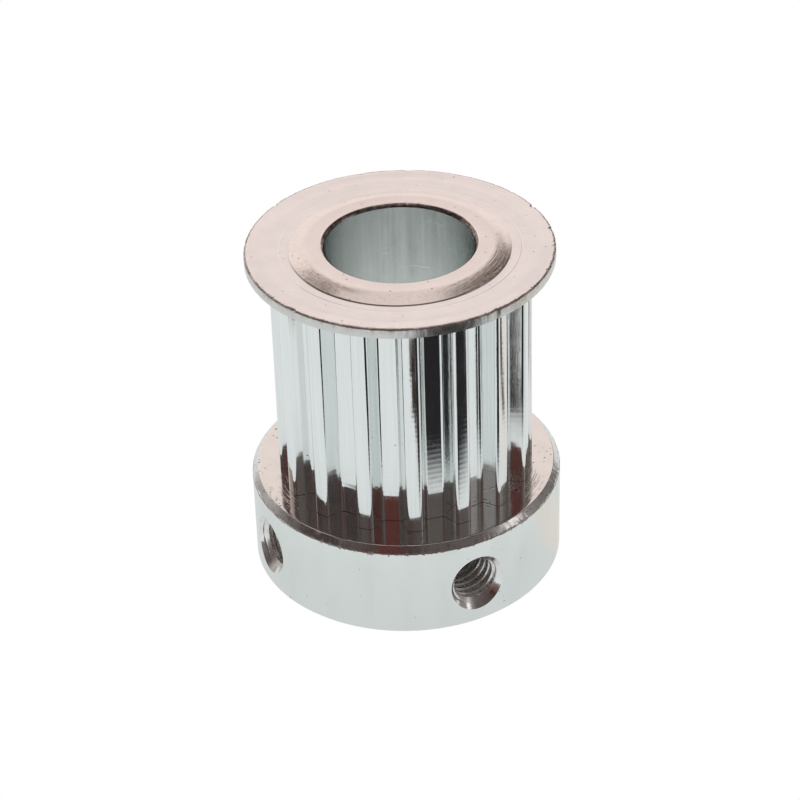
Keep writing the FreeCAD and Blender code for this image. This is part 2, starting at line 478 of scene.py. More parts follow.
def groove_outline(mid_angle):
    """One belt groove and half the tooth tip each side of it, going round the bore."""
    out, along = polar(1, mid_angle, 0), polar(1, mid_angle + math.pi / 2, 0)
    half_root = GROOVE_ROOT_WIDTH / 2
    root_out = math.sqrt(ROOT_RADIUS ** 2 - half_root ** 2)
    spread = math.tan(GROOVE_FLANK_ANGLE)
    a = 1 + spread ** 2
    b = 2 * (root_out + half_root * spread)
    c = root_out ** 2 + half_root ** 2 - TIP_RADIUS ** 2
    climb = (-b + math.sqrt(b * b - 4 * a * c)) / (2 * a)
    tip_out, half_tip = root_out + climb, half_root + climb * spread
    tip_turn = math.atan2(half_tip, tip_out)
    pitch_turn = TURN / TEETH / 2
    corners = [
        polar(TIP_RADIUS, mid_angle - pitch_turn, 0),
        out * tip_out - along * half_tip,
        out * root_out - along * half_root,
        out * root_out + along * half_root,
        out * tip_out + along * half_tip,
        polar(TIP_RADIUS, mid_angle + pitch_turn, 0),
    ]
    points = []
    margin = (TIP_ROUNDING + 0.03) / TIP_RADIUS
    for k in range(TIP_STEPS):
        turn = -pitch_turn + (pitch_turn - tip_turn - margin) * k / TIP_STEPS
        points.append(polar(TIP_RADIUS, mid_angle + turn, 0))
    for k, rounding in enumerate((TIP_ROUNDING, ROOT_ROUNDING, ROOT_ROUNDING, TIP_ROUNDING)):
        arc = corner_arc(*corners[k:k + 3], rounding, ARC_STEPS)
        if k > 0:
            points.append((points[-1] + arc[0]) / 2)
        points += arc
    for k in range(1, TIP_STEPS):
        turn = tip_turn + margin + (pitch_turn - tip_turn - margin) * k / TIP_STEPS
        points.append(polar(TIP_RADIUS, mid_angle + turn, 0))
    return points


def tooth_outline():
    points = []
    for k in range(TEETH):
        points += groove_outline((k + 0.5) * TURN / TEETH)
    return points


def scallop(z, groove):
    """How far the cutter's feed marks sink at this height: shallow arcs that meet in ridges."""
    phase = (z / SCALLOP_PITCH + 0.37 * noise.noise(Vector((groove * 3.1, 0, 0)))) % 1.0
    strength = 0.6 + 0.5 * noise.noise(Vector((groove * 1.7, z * 0.21, 4.0)))
    return SCALLOP_DEPTH * strength * (1 - (2 * phase - 1) ** 2)


def make_sleeve(materials):
    shell = Shell()
    shell.barrels = {SLEEVE_BORE: -1, SLEEVE_SPIGOT: 1}
    outline = tooth_outline()
    angles = [math.atan2(p.y, p.x) % TURN for p in outline]
    per_tooth = len(outline) // TEETH
    band = steps_between(*HOLE_BAND, SLEEVE_BAND_STEP)

    def tooth_ring(z, shrink=0.0):
        points = []
        for i, spot in enumerate(outline):
            radius = Vector((spot.x, spot.y)).length
            sunk = shrink + (scallop(z, i // per_tooth) if shrink == 0 else 0)
            scale = (radius - sunk) / radius
            points.append(Vector((spot.x * scale, spot.y * scale, z)))
        return shell.ring(points)

    # Spigot, then the toothed face with a fine break at its lower end
    low, high, spigot_edges = drilled_wall(
        shell, SPIGOT_RADIUS, angles, [0] + band + [HUB_TOP], SLEEVE_SPIGOT, tapped_edge)
    ring = tooth_ring(HUB_TOP, 0.03)
    shell.bridge(high, ring, TOOTH_END)
    kind = TOOTH_END
    for z in [HUB_TOP + 0.03] + steps_between(HUB_TOP + 0.1, FLANGE_BOTTOM - 0.02, SCALLOP_PITCH / 6):
        above = tooth_ring(z)
        shell.bridge(ring, above, kind)
        ring = above
        kind = TOOTH_SIDE
    above = tooth_ring(FLANGE_BOTTOM)
    shell.bridge(ring, above, TOOTH_SIDE)

    # The end swaged over the flange
    chamfer_radius = BORE_RADIUS + BORE_CHAMFER
    groove = SWAGE_RADIUS - FLANGE_SPIGOT_RADIUS
    slope_radius = SWAGE_RADIUS - 0.18
    slope_foot = 0.11
    profile = [
        ((SPIGOT_RADIUS, FLANGE_BOTTOM), TOOTH_END),
        ((FLANGE_SPIGOT_RADIUS, FLANGE_BOTTOM), TOOTH_END),
        ((FLANGE_SPIGOT_RADIUS, FLANGE_TOP - groove), SLEEVE_END),
        ((SWAGE_RADIUS - 0.03, FLANGE_TOP - 0.03), SLEEVE_END),
        ((SWAGE_RADIUS - 0.01, FLANGE_TOP + 0.02), SWAGE),
        ((SWAGE_RADIUS - 0.04, FLANGE_TOP + 0.06), SWAGE),
        ((SWAGE_RADIUS - 0.1, FLANGE_TOP + 0.09), SWAGE),
    ]
    rise = SLEEVE_TOP - FLANGE_TOP - slope_foot
    for k in range(SLOPE_STEPS):
        share = k / SLOPE_STEPS
        radius = slope_radius - (slope_radius - SWAGE_LAND_RADIUS) * share
        bulge = 0.12 * math.sin(share * math.pi)
        profile.append(((radius, FLANGE_TOP + slope_foot + rise * (share + bulge)), SWAGE))
    profile += [
        ((SWAGE_LAND_RADIUS - 0.12, SLEEVE_TOP - 0.003), SWAGE),
        ((SWAGE_LAND_RADIUS - 0.3, SLEEVE_TOP), SWAGE),
        ((chamfer_radius + 0.25, SLEEVE_TOP), SWAGE),
        ((chamfer_radius + 0.06, SLEEVE_TOP - 0.004), SWAGE),
        (lambda a: (chamfer_radius + 0.02 - 0.03 * ragged(a, 5), SLEEVE_TOP - 0.02), SWAGE),
    ]
    for share in (0.3, 0.6, 0.9):
        cut = BORE_CHAMFER * share
        profile.append(((chamfer_radius - cut, SLEEVE_TOP - cut), SLEEVE_CHAMFER))
    ring = shell.loft(above, angles, profile)

    above_band = steps_between(9.0, SLEEVE_TOP - BORE_CHAMFER - 0.03, 1.0)
    bore_low, bore_high, bore_edges = drilled_wall(
        shell, BORE_RADIUS, angles, [BORE_CHAMFER] + band + above_band, SLEEVE_BORE, tapped_edge)
    shell.bridge(ring, bore_high, SLEEVE_CHAMFER)
    end = shell.circle(chamfer_radius, angles, 0)
    shell.bridge(bore_low, end, SLEEVE_CHAMFER)
    shell.bridge(end, low, SLEEVE_END)
    for hole, outer, inner in zip(HOLES, spigot_edges, bore_edges):
        hole_wall(
            shell, hole, outer, inner, thread_radius, (SLEEVE_THREAD, SLEEVE_THREAD), SLEEVE_WALL_STEPS)
    paint = {TOOTH_SIDE: 0, SLEEVE_END: 1, SLEEVE_BORE: 2, SLEEVE_SPIGOT: 0, SLEEVE_THREAD: 3,
             SWAGE: 1, SLEEVE_CHAMFER: 5, TOOTH_END: 4}
    return shell.make("toothed_body_cut", "pulley", ["toothed_body"], materials, paint)


# ---- flange

FLANGE_FACE, FLANGE_EDGE, FLANGE_RIM, FLANGE_UNDER, FLANGE_BORE = range(5)

# Handling nicks in the rim: where in degrees from +X, how deep and how wide in mm
NICKS = ((119.0, 0.22, 0.3), (2.0, 0.25, 0.35), (-16.0, 0.2, 0.25), (-158.0, 0.16, 0.3), (60.0, 0.12, 0.5),
         (200.0, 0.12, 0.4), (-80.0, 0.1, 0.5))


# The fine line turned in the flange's face: how far from it each ring is, and how deep it is cut there
LINE_CUT = ((-0.15, 0), (-0.09, 0), (-0.05, 0.006), (0, 0.022), (0.05, 0.01), (0.12, 0), (0.18, 0))


def nick_depth(angle):
    """How far the handling nicks cut into the flange's rim at this angle."""
    depth = 0
    for degrees, deep, wide in NICKS:
        off = (angle - math.radians(degrees) + math.pi) % TURN - math.pi
        depth += deep * max(0, 1 - abs(off) * FLANGE_RADIUS / wide)
    return depth


def make_flange(materials):
    shell = Shell()
    angles = turns_of(FLANGE_POINTS)
    slope = LIP_RISE / (FLANGE_RADIUS - LIP_START_RADIUS)
    groove = SWAGE_RADIUS - FLANGE_SPIGOT_RADIUS

    def top_at(radius):
        return FLANGE_TOP + max(0, radius - LIP_START_RADIUS) * slope

    def rim(inset, drop, burr):
        """A ring near the rim's upper edge: burr is how much the torn edge shows there."""
        def place(angle):
            radius = FLANGE_RADIUS - inset - nick_depth(angle) - burr * 0.09 * ragged(angle, 3)
            return radius, top_at(radius) - drop - burr * 0.05 * ragged(angle, 4, 1.7)
        return place

    def low_rim(inset, lift):
        """A ring near the rim's lower edge."""
        def place(angle):
            radius = FLANGE_RADIUS - inset - 0.6 * nick_depth(angle) - 0.03 * ragged(angle, 6)
            return radius, top_at(FLANGE_RADIUS) - FLANGE_THICKNESS + lift
        return place

    face = [
        (SWAGE_RADIUS + 0.02, FLANGE_TOP - 0.018),
        (SWAGE_RADIUS + 0.18, FLANGE_TOP - 0.003),
        (SWAGE_RADIUS + 0.24, FLANGE_TOP),
        *[(FLANGE_LINE_RADIUS + off, FLANGE_TOP - sunk) for off, sunk in LINE_CUT],
        (LIP_START_RADIUS - 0.4, FLANGE_TOP),
        (LIP_START_RADIUS - 0.3, FLANGE_TOP),
        (LIP_START_RADIUS, FLANGE_TOP + 0.006),
        (LIP_START_RADIUS + 0.3, top_at(LIP_START_RADIUS + 0.3)),
        (FLANGE_RADIUS - 0.55, top_at(FLANGE_RADIUS - 0.55)),
        rim(0.26, 0, 0),
        rim(0.2, 0, 0.9),
    ]
    edge = [rim(0.14, 0.008, 1), rim(0.08, 0.03, 1), rim(0.035, 0.08, 1), rim(0.005, 0.16, 1)]
    side = [rim(0.0, 0.24, 0.4), low_rim(0, 0.2), low_rim(0.003, 0.02)]
    under = [low_rim(0.03, 0), (LIP_START_RADIUS, FLANGE_BOTTOM), (FLANGE_SPIGOT_RADIUS, FLANGE_BOTTOM)]
    first = shell.loft(None, angles, [((FLANGE_SPIGOT_RADIUS, FLANGE_TOP - groove), FLANGE_BORE)])
    last = shell.loft(first, angles, [((SWAGE_RADIUS - 0.02, FLANGE_TOP - 0.02), FLANGE_BORE)])
    parts = ((face, FLANGE_FACE), (edge, FLANGE_EDGE), (side, FLANGE_RIM), (under, FLANGE_UNDER))
    for places, kind in parts:
        last = shell.loft(last, angles, [(place, kind) for place in places])
    shell.bridge(last, first, FLANGE_BORE)
    paint = {FLANGE_FACE: 0, FLANGE_EDGE: 1, FLANGE_RIM: 2, FLANGE_UNDER: 2, FLANGE_BORE: 0}
    return shell.make("flange_pressed", "pulley", ["flange"], materials, paint)


# ---- set screws

SCREW_BARREL, SCREW_FACE, SCREW_SOCKET, SCREW_SOCKET_END, SCREW_POINT, SCREW_CUP = range(6)


def make_screw(name, angle, material):
    """An M5 set screw on its hole's axis, with its thread in step with the thread of the hole."""
    shell = Shell()
    hole = CrossHole(angle)
    turns = turns_of(SCREW_POINTS, -math.pi)
    full = THREAD_MAJOR - SCREW_CLEARANCE

    def ring(radius_at, along):
        return shell.ring([hole.at(radius_at(turn), turn, along) for turn in turns])

    def hexagon(turn):
        sixth = TURN / 6
        return SOCKET_ACROSS_FLATS / 2 / math.cos((turn + math.pi) % sixth - sixth / 2)

    def limit(along):
        face_cone = full - SCREW_CHAMFER + (SCREW_OUTER - along)
        point_cone = CUP_RADIUS + (along - SCREW_INNER) * (full - CUP_RADIUS) / POINT_LENGTH
        return min(face_cone, point_cone)

    socket_floor = SCREW_OUTER - SOCKET_DEPTH
    floor_ring = ring(hexagon, socket_floor)
    drill = SOCKET_ACROSS_FLATS / 2
    shoulder = ring(lambda turn: drill * 0.96, socket_floor - 0.02)
    shell.bridge(floor_ring, shoulder, SCREW_SOCKET_END)
    shell.cap(shoulder, hole.at(0, 0, socket_floor - drill * math.tan(math.radians(30))), SCREW_SOCKET_END)
    mouth = ring(hexagon, SCREW_OUTER - 0.06)
    shell.bridge(floor_ring, mouth, SCREW_SOCKET)
    lip = ring(lambda turn: hexagon(turn) + 0.06, SCREW_OUTER)
    shell.bridge(mouth, lip, SCREW_SOCKET)
    previous = ring(lambda turn: full - SCREW_CHAMFER - 0.03, SCREW_OUTER)
    shell.bridge(lip, previous, SCREW_FACE)
    for along in steps_between(SCREW_INNER, SCREW_OUTER - 0.02, 0.05)[::-1]:
        here = ring(lambda turn: min(thread_radius(turn, along) - SCREW_CLEARANCE, limit(along)), along)
        shell.bridge(previous, here, SCREW_BARREL)
        previous = here
    cup_wall = ring(lambda turn: CUP_RADIUS - 0.06, SCREW_INNER + 0.02)
    shell.bridge(previous, cup_wall, SCREW_POINT)
    shell.cap(cup_wall, hole.at(0, 0, SCREW_INNER + CUP_DEPTH), SCREW_CUP)
    return shell.make(name + "_threaded", name, [name], [material])


# ---- materials

PLATED = (0.83, 0.865, 0.85)
DIRT = (0.055, 0.045, 0.04)


class Tree:
    """A node tree that is built by plain calls: every value is a number, a colour or a node's output."""

    def __init__(self, tree):
        self.tree = tree

    def add(self, kind, **settings):
        node = self.tree.nodes.new(kind)
        for key, value in settings.items():
            setattr(node, key, value)
        return node

    def put(self, value, socket):
        if hasattr(value, "is_output"):
            self.tree.links.new(value, socket)
        elif isinstance(value, tuple) and socket.type == "RGBA":
            socket.default_value = (*value, 1)
        else:
            socket.default_value = value

    def node(self, kind, inputs, output=0, **settings):
        """One output of a new node with these inputs."""
        node = self.add(kind, **settings)
        for key, value in inputs.items():
            self.put(value, node.inputs[key])
        return node.outputs[output]

    def math(self, operation, a, b=0):
        return self.node("ShaderNodeMath", {0: a, 1: b}, operation=operation)

    def times(self, a, b):
        return self.math("MULTIPLY", a, b)

    def plus(self, a, b):
        return self.math("ADD", a, b)

    def most(self, a, b):
        return self.math("MAXIMUM", a, b)

    def layers(self, *parts):
        """The sum of values that each have a weight."""
        total = None
        for value, weight in parts:
            layer = self.times(value, weight)
            total = layer if total is None else self.plus(total, layer)
        return total

    def stretch(self, vector, x, y, z):
        return self.node("ShaderNodeVectorMath", {0: vector, 1: (x, y, z)}, operation="MULTIPLY")

    def in_mm(self, vector):
        return self.stretch(vector, 1 / MM, 1 / MM, 1 / MM)

    def split(self, vector):
        node = self.add("ShaderNodeSeparateXYZ")
        self.put(vector, node.inputs[0])
        return node.outputs

    def step(self, value, low, high):
        """0 below low and 1 above high, with a soft change between them. It falls if high < low."""
        inputs = {"Value": value, "From Min": low, "From Max": high, "To Min": 0, "To Max": 1}
        if low >= high:
            inputs.update({"From Min": high, "From Max": low, "To Min": 1, "To Max": 0})
        return self.node("ShaderNodeMapRange", inputs, "Result", interpolation_type="SMOOTHSTEP")

    def between(self, value, low, high, soft):
        rise = self.step(value, low - soft, low + soft)
        fall = self.step(value, high + soft, high - soft)
        return self.times(rise, fall)

    def blend(self, factor, a, b):
        """From number a to number b."""
        return self.node("ShaderNodeMix", {0: factor, 2: a, 3: b}, data_type="FLOAT")

    def tint(self, factor, a, b):
        """From colour a to colour b."""
        return self.node("ShaderNodeMix", {0: factor, 6: a, 7: b}, 2, data_type="RGBA")

    def noise(self, vector, scale, detail=2, rough=0.5):
        inputs = {"Vector": vector, "Scale": scale, "Detail": detail, "Roughness": rough}
        return self.node("ShaderNodeTexNoise", inputs)

    def polar_of(self, vector):
        """Angle in degrees round +Z from -Y, the distance from the axis, and the height."""
        x, y, z = self.split(vector)
        angle = self.math("ARCTAN2", x, self.times(y, -1))
        flat = self.math("SQRT", self.plus(self.times(x, x), self.times(y, y)))
        return self.times(angle, 360 / TURN), flat, z


class Surface(Tree):
    """A metal's material. Its lengths are in millimetres on the piece."""

    def __init__(self, name):
        self.material = bpy.data.materials.new(name)
        self.material.use_nodes = True
        super().__init__(self.material.node_tree)
        self.shader = self.tree.nodes["Principled BSDF"]
        self.shader.inputs["Metallic"].default_value = 1
        self.spot = self.in_mm(self.add("ShaderNodeTexCoord").outputs["Object"])
        self.angle, self.radius, self.height = self.polar_of(self.spot)

    def cloud(self, scale, detail=2, rough=0.5):
        """Soft noise over the whole piece, finer with a larger scale."""
        return self.noise(self.spot, scale, detail, rough)

    def patches(self, low, high, *cloud):
        """Where the noise is high: 0 below low, 1 above high."""
        return self.step(self.cloud(*cloud), low, high)

    def rings(self, scale, along=0.12):
        """Fine lines that run round the axis, on faces square to it: they change with the radius."""
        x, y, _ = self.split(self.stretch(self.spot, along, along, along))
        lines = self.node("ShaderNodeCombineXYZ", {0: x, 1: y, 2: self.times(self.radius, scale)})
        return self.noise(lines, 1, 3, 0.6)

    def hoops(self, scale, along=0.15):
        """Fine lines that run round the axis, on its round sides: they change with the height."""
        return self.noise(self.stretch(self.spot, along, along, scale), 1, 3, 0.6)

    def streaks(self, scale, along=0.12):
        """Fine lines that run along the axis."""
        return self.noise(self.stretch(self.spot, scale, scale, along), 1, 3, 0.6)

    def pits(self, spacing, size, share, flat=False):
        """Small round pits: one in some of the cells of a grid of this spacing."""
        node = self.add("ShaderNodeTexVoronoi", voronoi_dimensions="2D" if flat else "3D")
        self.put(self.spot, node.inputs["Vector"])
        node.inputs["Scale"].default_value = 1 / spacing
        chance, width, _ = self.split(node.outputs["Color"])
        chosen = self.step(chance, share, share - 0.01)
        reach = self.blend(width, 0.45 * size / spacing, size / spacing)
        inside = self.step(self.math("DIVIDE", node.outputs["Distance"], reach), 1, 0.6)
        return self.times(chosen, inside)

    def finish(self, color, roughness, height=None):
        """Height is in mm."""
        self.put(color, self.shader.inputs["Base Color"])
        self.put(roughness, self.shader.inputs["Roughness"])
        if height is not None:
            bump = self.add("ShaderNodeBump")
            bump.inputs["Distance"].default_value = MM
            self.put(height, bump.inputs["Height"])
            self.put(bump.outputs[0], self.shader.inputs["Normal"])
        return self.material


def plated_barrel():
    """The hub's round side: bright plating over fine turning, with a few specks and faint stains."""
    s = Surface("plated_barrel")
    stain = s.step(s.noise(s.stretch(s.spot, 0.35, 0.35, 0.12), 1, 4), 0.35, 0.75)
    patchy = s.patches(0.5, 0.6, 0.16)
    specks = s.most(s.pits(1.3, 0.08, 0.3), s.times(s.pits(0.7, 0.1, 0.35), patchy))
    color = s.tint(stain, (0.85, 0.88, 0.868), (0.79, 0.835, 0.815))
    color = s.tint(s.times(specks, 0.75), color, DIRT)
    roughness = s.blend(s.cloud(0.8, 4), 0.05, 0.2)
    height = s.layers((s.hoops(7), 0.0009), (s.cloud(0.5, 1), 0.02), (specks, -0.01))
    return s.finish(color, roughness, height)


def plated_face():
    """The hub's top: faced, then scratched by handling, with pits in the plating."""
    s = Surface("plated_face")
    patchy = s.patches(0.42, 0.62, 0.22)
    pits = s.most(s.times(s.pits(0.62, 0.13, 0.42, True), patchy), s.pits(1.3, 0.1, 0.3, True))
    arcs = s.rings(7, 0.3)
    handled = s.most(s.between(s.angle, -104, -82, 4), s.between(s.angle, 33, 52, 4))
    handled = s.times(handled, s.step(s.radius, 14.3, 13.9))
    scratch = s.times(s.times(s.step(arcs, 0.55, 0.6), handled), s.patches(0.4, 0.55, 0.5))
    color = s.tint(s.cloud(0.5, 3), PLATED, (0.76, 0.76, 0.75))
    color = s.tint(s.times(pits, 0.92), color, DIRT)
    roughness = s.blend(s.cloud(1.1, 4), 0.05, 0.17)
    roughness = s.plus(roughness, s.times(scratch, 0.34))
    height = s.layers(
        (arcs, 0.0022), (s.cloud(0.6), 0.012), (s.cloud(5), 0.0012), (scratch, -0.004), (pits, -0.03))
    return s.finish(color, roughness, height)


def plated_chamfer():
    """The hub's top chamfer: coarser turning lines, worn grey in patches."""
    s = Surface("plated_chamfer")
    lines = s.rings(16, 0.4)
    grime = s.times(s.patches(0.52, 0.74, 2.6, 4, 0.7), 0.7)
    color = s.tint(grime, (0.8, 0.81, 0.8), (0.2, 0.17, 0.16))
    roughness = s.blend(s.cloud(1.5, 3), 0.08, 0.22)
    return s.finish(color, roughness, s.layers((lines, 0.004), (s.cloud(5, 3, 0.6), 0.0015)))


def plated_teeth():
    """The belt teeth: bright, with streaks along the cut and a few pits on the edges."""
    s = Surface("plated_teeth")
    streak = s.streaks(4.5)
    fine = s.streaks(16, 0.3)
    pits = s.pits(1.1, 0.1, 0.16)
    color = s.tint(s.step(streak, 0.35, 0.7), (0.86, 0.885, 0.88), (0.81, 0.84, 0.838))
    color = s.tint(s.times(pits, 0.85), color, DIRT)
    roughness = s.blend(s.noise(s.stretch(s.spot, 1, 1, 0.35), 1.2, 4), 0.04, 0.16)
    roughness = s.plus(roughness, s.times(s.step(fine, 0.55, 0.75), 0.06))
    height = s.layers((streak, 0.0018), (fine, 0.0005), (s.cloud(0.7), 0.008), (pits, -0.012))
    return s.finish(color, roughness, height)


def plated_bore():
    """The reamed bore: a softer shine, with streaks along it and a few curved scratches."""
    s = Surface("plated_bore")
    streak = s.streaks(2.6, 0.05)
    arcs = s.hoops(3.5, 0.35)
    scratch = s.times(s.step(arcs, 0.61, 0.66), s.patches(0.48, 0.58, 0.3))
    color = s.tint(s.step(streak, 0.3, 0.75), (0.83, 0.843, 0.838), (0.74, 0.757, 0.75))
    color = s.tint(s.times(scratch, 0.5), color, (0.95, 0.97, 0.96))
    roughness = s.blend(s.cloud(0.7, 4), 0.1, 0.24)
    height = s.layers((streak, 0.006), (s.hoops(12, 0.2), 0.0008), (scratch, 0.004))
    return s.finish(color, roughness, height)


def plated_flange():
    """The pressed flange: slightly cloudy plating, faint turning lines and small pits."""
    s = Surface("plated_flange")
    cloud = s.cloud(0.33, 5, 0.6)
    pits = s.pits(1.3, 0.09, 0.2, True)
    lines = s.rings(7, 0.1)
    color = s.tint(s.step(cloud, 0.35, 0.7), (0.88, 0.885, 0.885), (0.84, 0.845, 0.855))
    color = s.tint(s.times(s.step(lines, 0.58, 0.72), 0.1), color, (0.45, 0.42, 0.42))
    color = s.tint(s.times(pits, 0.7), color, (0.16, 0.13, 0.13))
    roughness = s.blend(s.cloud(0.9, 4), 0.1, 0.26)
    height = s.layers(
        (lines, 0.0025), (s.cloud(0.45, 3), 0.016), (s.cloud(4.5, 3), 0.0015), (pits, -0.012))
    return s.finish(color, roughness, height)


def worn_edge():
    """The flange's torn upper edge, dark where dirt holds in the burr."""
    s = Surface("worn_edge")
    dirty = s.patches(0.34, 0.6, 0.9, 5, 0.65)
    color = s.tint(dirty, (0.74, 0.7, 0.68), (0.4, 0.35, 0.33))
    roughness = s.blend(s.cloud(3, 3), 0.28, 0.5)
    return s.finish(color, roughness, s.layers((s.cloud(9, 3), 0.01), (s.hoops(14, 0.5), 0.006)))


def bore_edge():
    """The bore's chamfers: dull, with a dark burr."""
    s = Surface("bore_edge")
    dirty = s.patches(0.3, 0.6, 1.7, 5, 0.7)
    color = s.tint(dirty, (0.6, 0.58, 0.57), (0.16, 0.14, 0.135))
    roughness = s.blend(s.cloud(3, 3), 0.14, 0.32)
    return s.finish(color, roughness, s.layers((s.cloud(8, 3), 0.008), (s.hoops(12, 0.5), 0.003)))


def sheared_rim():
    """The flange's side: sheared metal under the plating, with fine upright marks."""
    s = Surface("sheared_rim")
    marks = s.streaks(9, 0.8)
    low = s.step(s.height, FLANGE_TOP - 0.35, FLANGE_TOP - 0.6)
    grime = s.times(s.patches(0.5, 0.75, 1.6, 4, 0.7), s.blend(low, 0.6, 0.1))
    color = s.tint(grime, (0.7, 0.695, 0.68), (0.36, 0.32, 0.3))
    roughness = s.blend(s.cloud(2, 3), 0.19, 0.42)
    height = s.layers((marks, 0.002), (s.cloud(1.3), 0.01), (s.hoops(9, 0.4), 0.003))
    return s.finish(color, roughness, height)


def brushed_swage():
    """The sleeve's rolled end: brushed round by the rolling tool, polished on its flat. On its slope, dark
    brown rubbed wear is painted much darker in two ranges of angle either side of the camera's side, a
    painted reflection of the dark room.
    """
    s = Surface("brushed_swage")
    slope = s.step(s.radius, SWAGE_LAND_RADIUS - 0.15, SWAGE_LAND_RADIUS + 0.25)
    lines = s.rings(22, 0.9)
    coarse = s.rings(7, 0.5)
    pits = s.pits(1.2, 0.09, 0.25, True)
    rubbed_wear_and_painted_reflection = s.times(slope, s.patches(0.35, 0.75, 3.5, 4, 0.7))
    color = s.tint(s.cloud(0.6, 4), (0.89, 0.875, 0.86), (0.8, 0.785, 0.765))
    # Two ranges of angle either side of the camera's side: the dark patches here are a painted reflection,
    # and the rolling marks are cut deeper
    rolled_marks_and_painted_reflection = s.times(slope, s.most(s.between(s.angle, 2, 60, 8), s.between(s.angle, -96, -62, 6)))
    # Dark brown over the rubbed patches: light wear everywhere, a much darker painted reflection in the two
    # ranges of angle
    color = s.tint(s.times(rubbed_wear_and_painted_reflection, s.blend(rolled_marks_and_painted_reflection, 0.12, 0.45)), color, (0.3, 0.25, 0.22))
    color = s.tint(s.times(pits, 0.8), color, DIRT)
    roughness = s.plus(s.blend(s.cloud(1.3, 3), 0.1, 0.2), s.times(slope, 0.02))
    fine_depth = s.plus(s.blend(slope, 0.001, 0.003), s.times(rolled_marks_and_painted_reflection, 0.012))
    coarse_depth = s.plus(s.blend(slope, 0.002, 0.006), s.times(rolled_marks_and_painted_reflection, 0.028))
    height = s.layers((lines, fine_depth), (coarse, coarse_depth), (s.cloud(0.8), 0.01), (pits, -0.02))
    return s.finish(color, roughness, height)


def tapped_thread():
    """The tapped holes: plating that is rough from the tap and holds some brown dirt."""
    s = Surface("tapped_thread")
    dirt = s.patches(0.42, 0.7, 1.4, 5, 0.7)
    color = s.tint(s.times(dirt, 0.5), (0.9, 0.9, 0.89), (0.5, 0.43, 0.39))
    roughness = s.blend(s.cloud(3, 3), 0.2, 0.36)
    height = s.times(s.cloud(3), 0.002)
    return s.finish(color, roughness, height)


def countersink_metal():
    """The countersinks of the tapped holes, with chatter marks from the tool."""
    s = Surface("countersink_metal")
    stain = s.patches(0.45, 0.7, 1.1, 4, 0.6)
    color = s.tint(s.times(stain, 0.5), (0.88, 0.89, 0.88), (0.66, 0.62, 0.6))
    roughness = s.blend(s.cloud(2.2, 3), 0.06, 0.22)
    height = s.times(s.cloud(4, 3), 0.008)
    return s.finish(color, roughness, height)


def seam_dirt():
    """Dirt in the corner where the teeth stand on the hub."""
    s = Surface("seam_dirt")
    mottle = s.cloud(5, 4, 0.7)
    color = s.tint(mottle, (0.02, 0.017, 0.016), (0.12, 0.1, 0.095))
    return s.finish(color, s.blend(mottle, 0.4, 0.75), s.times(mottle, 0.02))


def screw_steel():
    """The set screws: plain hardened steel, oiled, with brown stains."""
    s = Surface("screw_steel")
    stain = s.patches(0.4, 0.75, 2.2, 4, 0.7)
    color = s.tint(s.times(stain, 0.7), (0.56, 0.545, 0.53), (0.33, 0.28, 0.25))
    roughness = s.blend(s.cloud(3, 4), 0.25, 0.45)
    height = s.times(s.cloud(9, 3), 0.004)
    return s.finish(color, roughness, height)


# ---- studio

# The camera's side of the object, counted from -Y: studio angles start there and grow to the right
CAMERA_TURN = math.radians(-25.7)
CAMERA_REACH = 215.2
CAMERA_HEIGHT = 161.4
CAMERA_LENS = 121.3
CAMERA_SENSOR = 36
CAMERA_PAN = math.radians(0.11)
CAMERA_TILT = math.radians(90 - 33.92)
CAMERA_ROLL = math.radians(-1.79)

# Colours of the studio
PAPER = (0.8, 0.825, 0.82)
PAPER_NEAR = (0.695, 0.713, 0.71)
PAPER_IN_BORE = (1.1, 1.13, 1.12)
BLACK = (0.02, 0.018, 0.02)
BROWN = (0.05, 0.03, 0.02)
WARM = (0.82, 0.7, 0.66)
WARM_LOW = (1, 0.855, 0.81)

# Two small black cards over the table, and the way that the edge of a larger one on it faces: the
# corners and the way are given as (right, ahead), seen from the camera's side
FLAG_HEIGHT = 12
FLAG_OUTLINE = ((2.4, 28.5), (3.9, 45), (9.5, 45), (6.1, 35), (6.8, 28.5))
SLAT_HEIGHT = 6
SLAT_OUTLINE = ((3.5, 47), (5.1, 47), (8.3, 22), (6.6, 22))
CARD_EDGE = (0.326, 0.945)
TABLE_RADIUS = 3000
TABLE_HEIGHT = 0.05


def glow(name):
    """An emission material's tree, and the shader that its colour goes into."""
    material = bpy.data.materials.new(name)
    material.use_nodes = True
    tree = Tree(material.node_tree)
    tree.tree.nodes.clear()
    shader = tree.add("ShaderNodeEmission")
    target = tree.add("ShaderNodeOutputMaterial")
    tree.put(shader.outputs[0], target.inputs[0])
    return material, tree, shader


def sheet(name, corners):
    mesh = bpy.data.meshes.new(name)
    mesh.from_pydata(corners, [], [tuple(range(len(corners)))])
    return put_in_scene(name, mesh)


def disc(name, z):
    thing = sheet(name, [polar(TABLE_RADIUS, turn, z) * MM for turn in turns_of(DISC_POINTS)])
    return thing


def studio_frame(tree, vector):
    """The vector turned so that -Y is the camera's side."""
    node = tree.add("ShaderNodeVectorRotate", rotation_type="Z_AXIS")
    tree.put(vector, node.inputs["Vector"])
    node.inputs["Angle"].default_value = -CAMERA_TURN
    return node.outputs[0]


def make_floor():
    """The white floor that shows behind the pulley. The metal sees the table in its place."""
    floor = disc("floor", 0)
    material, _, shader = glow("white_floor")
    shader.inputs["Color"].default_value = (1, 1, 1, 1)
    floor.data.materials.append(material)
    floor.visible_glossy = False


